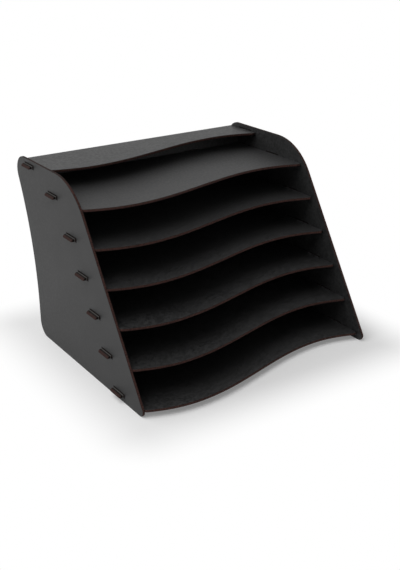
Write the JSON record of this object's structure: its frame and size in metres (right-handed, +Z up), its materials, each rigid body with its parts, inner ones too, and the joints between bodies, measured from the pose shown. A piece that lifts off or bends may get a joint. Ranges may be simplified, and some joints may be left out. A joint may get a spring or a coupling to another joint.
{
  "type": "document rack",
  "caption": "Desktop document rack of thin black boards: side panels with sloping fronts hold stacked open shelves with waved front edges, a back board and a narrow top cap.",
  "frame": {"origin": "middle of the rack's box in X and Y, on the surface that the rack stands on", "axes": "+X across the rack to its right, -Y towards the open front, +Z up"},
  "size_m": [0.3392, 0.3061, 0.231],
  "materials": {
    "black_board": "matte black facing on thin fibreboard, with brown laser-cut edges"
  },
  "bodies": {
    "root": {"left_side_panel": "black_board", "right_side_panel": "black_board", "back_board": "black_board", "bottom_shelf": "black_board", "shelf_1": "black_board", "shelf_2": "black_board", "shelf_3": "black_board", "shelf_4": "black_board", "shelf_5": "black_board", "top_cap": "black_board"}
  },
  "joints": []
}
